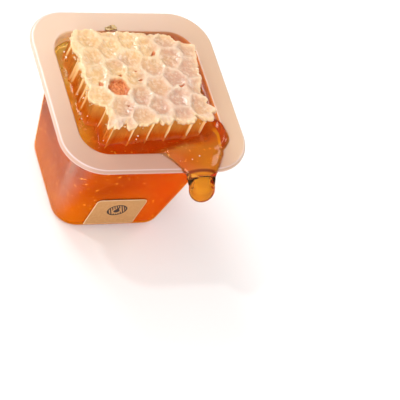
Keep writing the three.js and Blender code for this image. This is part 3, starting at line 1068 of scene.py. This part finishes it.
def cap_relief(x, y, edge, middles):
    """Height below the comb's top, and the masks that colour it.

    Ridges stand over the cell walls as exp(-(d / w)^2) of the distance d to the wall, and thicken where
    three cells meet; between them each capping sinks, wrinkled; holes and the broken cell go deeper; the
    edge rounds off. The wax is thicker and rougher towards the back left.
    """
    u = x + 0.6 * noise(x, y, 2.8, 21) + 0.2 * noise(x, y, 1.1, 20)
    v = y + 0.6 * noise(x, y, 2.8, 22)
    wall, cell = from_cell_walls(u, v, middles)
    from_middle = np.hypot(u - middles[cell, 0], v - middles[cell, 1])
    width = 0.6 + 0.3 * noise(x, y, 2.2, 23)
    ridge = np.maximum(np.exp(-((wall / width) ** 2)), 0.9 * smooth((from_middle - 2.2) / 0.9))
    thick = smooth(0.5 + (y - x) / 30 + 0.45 * noise(x, y, 5.0, 35)) * smooth(0.25 + (y - x + 6) / 16)
    ridge = ridge * (0.8 + 0.2 * noise(x, y, 1.6, 24))
    sink = smooth((wall - 0.2) / 1.7) * (CAP_SINK + 0.14 * noise(x, y, 6.0, 25)) * (1 - 0.45 * thick)
    wrinkle = WRINKLE * layered(x, y, 1.5, 26) * (1 + 0.8 * thick) + 0.05 * noise(x, y, 0.35, 29)
    hole = holes_at(x, y)
    home = np.argmin(np.hypot(*(middles - np.array(BROKEN_CELL)).T))
    broken = (cell == home) * smooth((wall - 0.45 + 0.25 * noise(x, y, 0.8, 32)) / 0.35)
    torn = np.maximum(hole, broken)
    crumbs = 0.25 * layered(x, y, 0.7, 33, 2)
    down = RIDGE_HIGH * (1 - ridge) + sink + 0.18 - wrinkle
    down = down + hole * HOLE_DEEP + broken * (BROKEN_DEEP + crumbs)
    lift = 0.15 * noise(x, y, 1.1, 34) * np.exp(-edge / 0.8)
    down = np.clip(down - lift, 0.0, 1.4) + 0.3 * np.exp(-edge / 0.12)
    tone = np.random.default_rng(36).uniform(0, 1, len(middles))[cell] * smooth((wall - 0.1) / 0.8)
    return down, {
        "ridge": ridge * (1 - torn) * (0.72 + 0.36 * noise(x, y, 2.6, 37)),
        "hole": torn,
        "edge": np.exp(-edge / 1.1),
        "thick": thick,
        "tone": tone,
    }


def cap_plate(middles):
    """The capping plate as rings: out over the top, round the torn edge, and back underneath."""
    angles = directions(AROUND)
    rim = cap_reach(angles)
    share = np.linspace(0.01, 1, 96) ** 0.92
    r = rim * share[:, None]
    x, y = spread(r, angles)
    sunk, masks = cap_relief(x, y, rim - r, middles)
    top = np.stack([x, y, COMB_TOP - sunk], -1)
    thick = CAP_THICK * (0.75 + 0.3 * noise(x[-1], y[-1], 1.0, 41))
    below = ((0.25, -0.05), (0.5, 0.0), (0.75, 0.1), (0.95, 0.3), (1.0, 0.6))
    under = [polar(rim - back, angles, top[-1, :, 2] - thick * down) for down, back in below]
    under += [polar(rim - back, angles, COMB_TOP - CAP_THICK - 0.65) for back in (1.0, 2.0)]
    grid = np.concatenate([top, np.stack(under)])[::-1]
    masks = {
        key: np.concatenate([value, np.repeat(value[-1:], len(under), 0)])[::-1]
        for key, value in masks.items()
    }
    return make_mesh("cap_plate", grid, attributes=masks)


def cell_walls(middles):
    """The block under the cap: its side follows the cut along the fins and goes in where cells lie open."""
    angles = directions(1400)
    cut = reach(CUT, angles)
    depth = opened(angles, middles)
    z = np.linspace(COMB_FOOT, COMB_TOP - CAP_THICK - 0.4, 20)[:, None]
    x, y = spread(cut, angles)
    wobble = 0.10 * noise(x + 0 * z, y + z, 2.0, 51)
    r = cut - depth + wobble - 0.02
    fin = 1 - smooth(depth / 0.35)
    fin = fin * (1 - 0.75 * smooth((blurred(fin, 9) - 0.3) / 0.25)) * (0.75 + 0.35 * noise(x, y, 2.6, 52))
    fin = np.broadcast_to(np.clip(fin, 0, 1), r.shape)
    return make_mesh("cell_walls", polar(r, angles, z), attributes={"fin": fin})


# Small things


def bubbles(name, places):
    """Small beads on the honey and the wet comb, one after another in one mesh."""
    return joined(name, [ball(name, (x, y, z), (r, r, r), 10, 20) for x, y, z, r in places])


def wax_crumbs():
    """Crumbs of wax hanging at the cut's left and front edges, thrown by a seeded generator."""
    rng = np.random.default_rng(81)
    turn = np.concatenate([rng.uniform(148, 205, 46), rng.uniform(222, 318, 22)]) * math.pi / 180
    turn = np.mod(turn + math.pi, 2 * math.pi) - math.pi
    r = reach(CUT, turn) + rng.uniform(-0.05, 0.35, len(turn))
    z = COMB_TOP - rng.uniform(0.9, 2.6, len(turn))
    size = rng.uniform(0.1, 0.26, (len(turn), 3))
    places = zip(polar(r, turn, z), size)
    return joined("wax_crumbs", [ball("crumb", place, axes, 5, 8) for place, axes in places])


def wax_flake():
    """A thin curled scrap on the back rim: a strip bent up along its length."""
    u, v = np.meshgrid(np.linspace(-1, 1, 30), np.linspace(-1, 1, 12), indexing="ij")
    x = FLAKE_AT[0] + 1.6 * u + 0.15 * noise(u * 3, v * 3, 0.8, 61)
    y = FLAKE_AT[1] + (0.75 - 0.35 * u * u) * v + 0.2 * np.sin(2.5 * u)
    z = RIM_Z + 0.25 + 0.25 * v * v + 0.2 * np.cos(2 * u) + 0.1 * noise(u * 4, v * 4, 1.0, 62)
    top = np.stack([x, y, z], -1)
    bottom = top - np.array([0, 0, 0.22])
    # Each row is a ring: across the top, and back underneath.
    return make_mesh("wax_flake", np.concatenate([top, bottom[:, ::-1]], 1))


# Label


def label_sheet(look):
    """A sheet on the sloping front wall.

    Its half width shrinks near the top by a quarter circle, r - sqrt(r^2 - (height past r from the top)^2).
    """
    width, height = LABEL_HIGH[0] - LABEL_LOW[0], 12.0
    middle_x = (LABEL_LOW[0] + LABEL_HIGH[0]) / 2
    foot, corner = 1.9, look.corner / MM
    slope = math.atan((TOP_HALF - BASE_HALF) / RIM_Z)
    v = height * (1 - (1 - np.linspace(0, 1, 60)) ** 1.5)
    into = np.clip(v - (height - corner), 0, corner)
    half = (width / 2 - (corner - np.sqrt(corner**2 - into**2)))[:, None]
    across = half * np.linspace(-1, 1, 61)
    up = np.broadcast_to(v[:, None], across.shape)
    rim = np.minimum(half - np.abs(across), np.minimum(up, height - up))

    def face(lift):
        """The sheet this far off the wall."""
        y = -outer_half(foot) - up * math.sin(slope) - lift * math.cos(slope)
        z = foot + up * math.cos(slope) - lift * math.sin(slope)
        return np.stack([middle_x + across, y, z], -1)

    grid = np.concatenate([face(0.16), face(0.02)[:, ::-1]], 1)
    masks = {"across": across, "up": up, "rim": np.clip(1 - rim / 0.22, 0, 1)}
    masks = {key: np.concatenate([mask, mask[:, ::-1]], 1) for key, mask in masks.items()}
    return make_mesh("label_sheet", grid, attributes=masks)


# Settings


def length(name, text, value):
    return FloatProperty(name=name, description=text, default=value, unit="LENGTH", precision=4)


def share(name, text, value, top=1.0):
    return FloatProperty(name=name, description=text, default=value, min=0.0, max=top)


def colour(text, code):
    return FloatVectorProperty(
        name=text.capitalize(),
        description="Colour of the " + text,
        default=rgb(code),
        subtype="COLOR",
        size=3,
        min=0.0,
        max=1.0,
    )


def power(text, value):
    name, text = text.capitalize(), "Power of the " + text
    return FloatProperty(name=name, description=text, default=value, unit="POWER")


def turn(name, text, degrees):
    return FloatProperty(name=name, description=text, default=math.radians(degrees), unit="ROTATION")


class TubSettings(bpy.types.PropertyGroup):
    # The flange colours are painted light and shade: lit at the back, shaded at the front left, between at
    # the right.
    flange_lit_back: colour("flange at the back", "#E0C0AA")
    flange_shaded_front: colour("flange at the front left", "#B08573")
    flange_right: colour("flange at the right", "#D9B698")
    # Painted highlight: the lip's bright lines stand for light caught on its round.
    lip_highlight: colour("bright lines along the lip", "#E8D4D8")
    wall_front: colour("veil over the front wall", "#E86A28")
    # Left wall veil: the milky plastic with a painted reflection over it.
    wall_left_and_reflection: colour("veil over the left wall", "#DCB4A0")
    # Painted highlight down the front left corner: its colour, its place, and how much it hides the honey.
    corner_highlight: colour("pale streak down the front left corner", "#D8A890")
    corner_highlight_at: length("Shine at", "How far the pale streak is off the corner", 0.0035)
    veil_front: share("Veil in front", "How much the front wall hides the honey", 0.04)
    veil_left_and_reflection: share("Veil at the left", "How much the left wall hides the honey", 0.15)
    veil_corner_highlight: share("Veil of the shine", "How much the streak hides the honey", 0.4)
    bare: colour("bare wall above the honey", "#DC7A00")
    bare_back: colour("bare wall at the back", "#CE8A48")
    bare_left: colour("bare wall at the back left", "#E8C29A")
    bare_low: colour("bare wall just above the level", "#F0C060")
    veil_bare: share("Veil of the bare wall", "How solid the wall looks above the honey", 0.8)
    veil_flange: share("Veil of the flange", "How solid the flange looks", 0.94)


class HoneySettings(bpy.types.PropertyGroup):
    tint: colour("clear honey", "#FFB030")
    tint_thin: colour("clear honey on the comb and at the back left", "#FFEEA8")
    tint_left: colour("clear honey at the left", "#FFC244")
    tint_drop: colour("clear honey in the drop", "#FFE4B0")
    skin: colour("honey's skin", "#F0D8A0")
    depth_colour: colour("light through deep honey", "#F2BD10")
    depth: FloatProperty(name="Depth", description="How fast honey darkens with depth", default=45.0)
    bend: share("Bend", "Refractive index", 1.4, 2.0)
    # Painted glow: emission from the cloudy honey.
    glow: share("Glow", "Light scattered inside the cloudy honey under the surface", 0.12)
    # Painted shade: darker cloudy honey behind the left wall.
    side_left_shaded: colour("cloudy honey behind the left wall", "#904A1C")
    side_right: colour("cloudy honey behind the front wall", "#CE6420")
    side_light: colour("blotches in the cloudy honey", "#C87A3A")
    side_foot: colour("cloudy honey near the base", "#C89240")
    # Painted shade just under the lip.
    side_shaded_under_lip: colour("cloudy honey under the lip", "#9C3C10")
    top_left: colour("cloudy honey under the left surface", "#FFEEB0")
    top_front: colour("cloudy honey under the front surface", "#E88038")
    top_right: colour("cloudy honey under the overflow", "#DCB888")
    top_outside: colour("cloudy honey where the overflow bulges", "#D07838")
    # Painted highlight: the golden line in the overflow, and its place.
    streak: colour("golden line in the overflow", "#FFE060")
    golden_highlight_at: length("Streak at", "How far right the golden line is", 0.0164)
    in_drop: colour("cloudy honey in the drop", "#FFD468")
    # Painted shadow of the lip across the drop.
    lip_shadow: colour("dark line where the drop leaves the lip", "#84420E")
    # Painted glints: the colour of the pale beads that stand for highlights.
    glint_beads: colour("tiny air bells", "#FFF2E6")
    speck: colour("specks in the honey", "#FFE0A0")


class CombSettings(bpy.types.PropertyGroup):
    ridge: colour("ridges over the cell walls", "#E5D2B8")
    middle: colour("middles of the cappings", "#C4967C")
    middle_warm: colour("middles where honey shows through", "#C99A74")
    middle_pink: colour("middles of thin wax", "#BC8A74")
    ridge_thick: colour("ridges of thick wax", "#EBD6B4")
    thick: colour("thick wax", "#D8AC70")
    edge: colour("torn edge of the cap", "#E3C296")
    hole_deep: colour("inside of a torn capping", "#B85A24")
    hole_light: colour("grains inside a torn capping", "#E08A50")
    fin: colour("cut edges of the cell walls", "#F6D9A4")
    cell_deep: colour("wet wax in the cut cells", "#DE8032")
    cell_light: colour("light places in the cut cells", "#F0B46C")
    cell_top: colour("cut cells just under the cap", "#F0C890")
    # Painted glow: emission from the cut sides.
    glow: share("Glow", "Light scattered inside the wax of the cut sides", 0.16)
    flake_dark: colour("wet scrap of wax", "#8A5A20")
    flake_light: colour("light places on the scrap", "#E0C080")


class LabelSettings(bpy.types.PropertyGroup):
    paper: colour("paper", "#B27B46")
    paper_light: colour("light fibres of the paper", "#BD8C54")
    paper_edge: colour("cut edge of the paper", "#F0CFA4")
    ink: colour("ink", "#28120C")
    corner: length("Corner", "Radius of the label's upper corners", 0.0013)
    mark_x: length("Mark across", "From the label's middle to the seal's", 0.0001)
    mark_y: length("Mark up", "From the label's foot to the seal's middle", 0.0069)
    mark_size: length("Mark size", "Radius of the seal's ring", 0.0026)


class StageSettings(bpy.types.PropertyGroup):
    floor: colour("floor", "#FAF8F6")
    aim: FloatVectorProperty(
        name="Aim", description="Where the camera looks", default=(0.02715, -0.00741, 0.0), unit="LENGTH"
    )
    away: length("Distance", "From the camera to the aim", 0.53682)
    azimuth: turn("Azimuth", "Camera direction", -39.33)
    elevation: turn("Elevation", "Camera height angle", 47.94)
    roll: turn("Roll", "Camera roll", -29.68)
    lens: FloatProperty(name="Lens", description="Focal length in millimetres", default=187.81)
    sky: share("Sky", "Brightness of the room's bright side", 1.25, 5.0)
    horizon: share("Shade", "Brightness of the room's dark side", 0.3, 5.0)
    sky_side: FloatVectorProperty(name="Sky side", description="Bright side", default=(-0.42, -0.5, 0.75))
    key: power("key light", 2.4)
    spark: power("small light", 0.5)
    window: power("low light", 0.6)
    fill: power("fill light", 1.3)


class HoneycombSettings(bpy.types.PropertyGroup):
    tub: PointerProperty(type=TubSettings, name="Tub", description="The plastic tub")
    honey: PointerProperty(type=HoneySettings, name="Honey", description="The honey")
    comb: PointerProperty(type=CombSettings, name="Comb", description="The honeycomb")
    label: PointerProperty(type=LabelSettings, name="Label", description="The paper label")
    stage: PointerProperty(type=StageSettings, name="Stage", description="Camera, floor and light")


# Operators


class HONEYCOMB_OT_tub(bpy.types.Operator):
    """Make the plastic tub with its rolled lip"""

    bl_idname = "honeycomb.tub"
    bl_label = "Tub"

    def execute(self, context):
        look = context.scene.honeycomb.tub
        dress(tub_shell(), milky_plastic(look), "tub_plastic", "tub")
        return {"FINISHED"}


class HONEYCOMB_OT_honey(bpy.types.Operator):
    """Make the honey in the tub, its spill, its bubbles, and pale beads that are painted glints"""

    bl_idname = "honeycomb.honey"
    bl_label = "Honey"

    def execute(self, context):
        look = context.scene.honeycomb.honey
        material = clear_honey(look)
        dress(honey_body(cell_middles()), material, "honey", "honey")
        dress(honey_heart(), cloudy_honey(look), "honey")
        dress(bubbles("bubbles", BUBBLES), material, "honey")
        # Painted highlights: pale beads placed where glints show on the honey and the wet comb.
        dress(bubbles("glint_beads", GLINT_BEADS), pale_beads("glint_beads", look.glint_beads), "honey")
        return {"FINISHED"}


class HONEYCOMB_OT_comb(bpy.types.Operator):
    """Make the comb: its capping plate, its cut cell walls, and the scrap of wax on the rim"""

    bl_idname = "honeycomb.comb"
    bl_label = "Comb"

    def execute(self, context):
        look = context.scene.honeycomb.comb
        middles = cell_middles()
        dress(cap_plate(middles), wax_cappings(look), "wax", "comb")
        dress(cell_walls(middles), wax_walls(look), "wax", "comb")
        dress(wax_crumbs(), pale_beads("crumb", look.edge), "wax")
        dress(wax_flake(), flake_wax(look), "wax")
        return {"FINISHED"}


class HONEYCOMB_OT_label(bpy.types.Operator):
    """Make the paper label on the front wall"""

    bl_idname = "honeycomb.label"
    bl_label = "Label"

    def execute(self, context):
        look = context.scene.honeycomb.label
        dress(label_sheet(look), label_paper(look), "label_paper", "label")
        return {"FINISHED"}


def make_floor(look):
    """A plain floor, far wider than the tub."""
    half = 2.0
    corners = [(-half, -half, 0), (half, -half, 0), (half, half, 0), (-half, half, 0)]
    mesh = bpy.data.meshes.new("floor")
    mesh.from_pydata(corners, [], [(0, 1, 2, 3)])
    mesh.materials.append(floor_paint(look))
    floor = bpy.data.objects.new("floor", mesh)
    bpy.context.scene.collection.objects.link(floor)


def make_room(look):
    """Light from all round, its brightness following the cosine to the bright side."""
    world = bpy.data.worlds.new("studio")
    f = Finish(world)
    facing = {0: f.place(0), 1: look.sky_side}
    facing = f.add("ShaderNodeVectorMath", {"operation": "DOT_PRODUCT"}, facing, 1)
    glow = lerp(look.horizon, look.sky, facing.between(0.1, 0.8))
    light = f.add("ShaderNodeBackground", {}, {"Strength": glow})
    f.add("ShaderNodeOutputWorld", {}, {"Surface": light})
    bpy.context.scene.world = world


def add_light(name, watts, size, place):
    """A square soft light at a place, turned to the middle of the tub."""
    light = bpy.data.lights.new(name, "AREA")
    light.energy = watts
    light.size = size
    made = bpy.data.objects.new(name, light)
    made.location = place
    middle = Vector((0, 0, 0.03))
    made.rotation_euler = (middle - Vector(place)).to_track_quat("-Z", "Y").to_euler()
    bpy.context.scene.collection.objects.link(made)


def make_camera(look):
    """The camera backs off from its aim along its own axis, after its roll, elevation and azimuth."""
    camera = bpy.data.cameras.new("camera")
    camera.lens = look.lens
    camera.sensor_width = 36.0
    eye = bpy.data.objects.new("camera", camera)
    tilt = Matrix.Rotation(math.pi / 2 - look.elevation, 4, "X") @ Matrix.Rotation(-look.roll, 4, "Z")
    facing = Matrix.Rotation(look.azimuth, 4, "Z") @ tilt
    back_off = Matrix.Translation((0, 0, look.away))
    eye.matrix_world = Matrix.Translation(look.aim) @ facing @ back_off
    bpy.context.scene.collection.objects.link(eye)
    bpy.context.scene.camera = eye


class HONEYCOMB_OT_stage(bpy.types.Operator):
    """Set up the floor, the soft light and the camera"""

    bl_idname = "honeycomb.stage"
    bl_label = "Stage"

    def execute(self, context):
        look = context.scene.honeycomb.stage
        make_floor(look)
        make_room(look)
        add_light("key", look.key, 0.3, (-0.15, 0.45, 0.45))
        add_light("fill", look.fill, 0.25, (-0.3, -0.4, 0.2))
        add_light("spark", look.spark, 0.03, (-0.3, 0.1, 0.5))
        add_light("window", look.window, 0.22, (0.42, 0.175, 0.34))
        make_camera(look)
        context.scene.view_settings.view_transform = "Standard"
        return {"FINISHED"}


class HONEYCOMB_PT_panel(bpy.types.Panel):
    bl_label = "Honeycomb Tub"
    bl_idname = "HONEYCOMB_PT_panel"
    bl_space_type = "VIEW_3D"
    bl_region_type = "UI"
    bl_category = "Honeycomb"

    def draw(self, context):
        settings = context.scene.honeycomb
        for part in ("tub", "honey", "comb", "label", "stage"):
            box = self.layout.box()
            box.operator("honeycomb." + part)
            group = getattr(settings, part)
            for key in group.__annotations__:
                box.prop(group, key)


CLASSES = (
    TubSettings,
    HoneySettings,
    CombSettings,
    LabelSettings,
    StageSettings,
    HoneycombSettings,
    HONEYCOMB_OT_tub,
    HONEYCOMB_OT_honey,
    HONEYCOMB_OT_comb,
    HONEYCOMB_OT_label,
    HONEYCOMB_OT_stage,
    HONEYCOMB_PT_panel,
)


def register():
    for each in CLASSES:
        bpy.utils.register_class(each)
    bpy.types.Scene.honeycomb = PointerProperty(type=HoneycombSettings)


def unregister():
    del bpy.types.Scene.honeycomb
    for each in reversed(CLASSES):
        bpy.utils.unregister_class(each)


def main():
    register()
    bpy.ops.honeycomb.stage()
    bpy.ops.honeycomb.tub()
    bpy.ops.honeycomb.honey()
    bpy.ops.honeycomb.comb()
    bpy.ops.honeycomb.label()


if __name__ == "__main__":
    main()
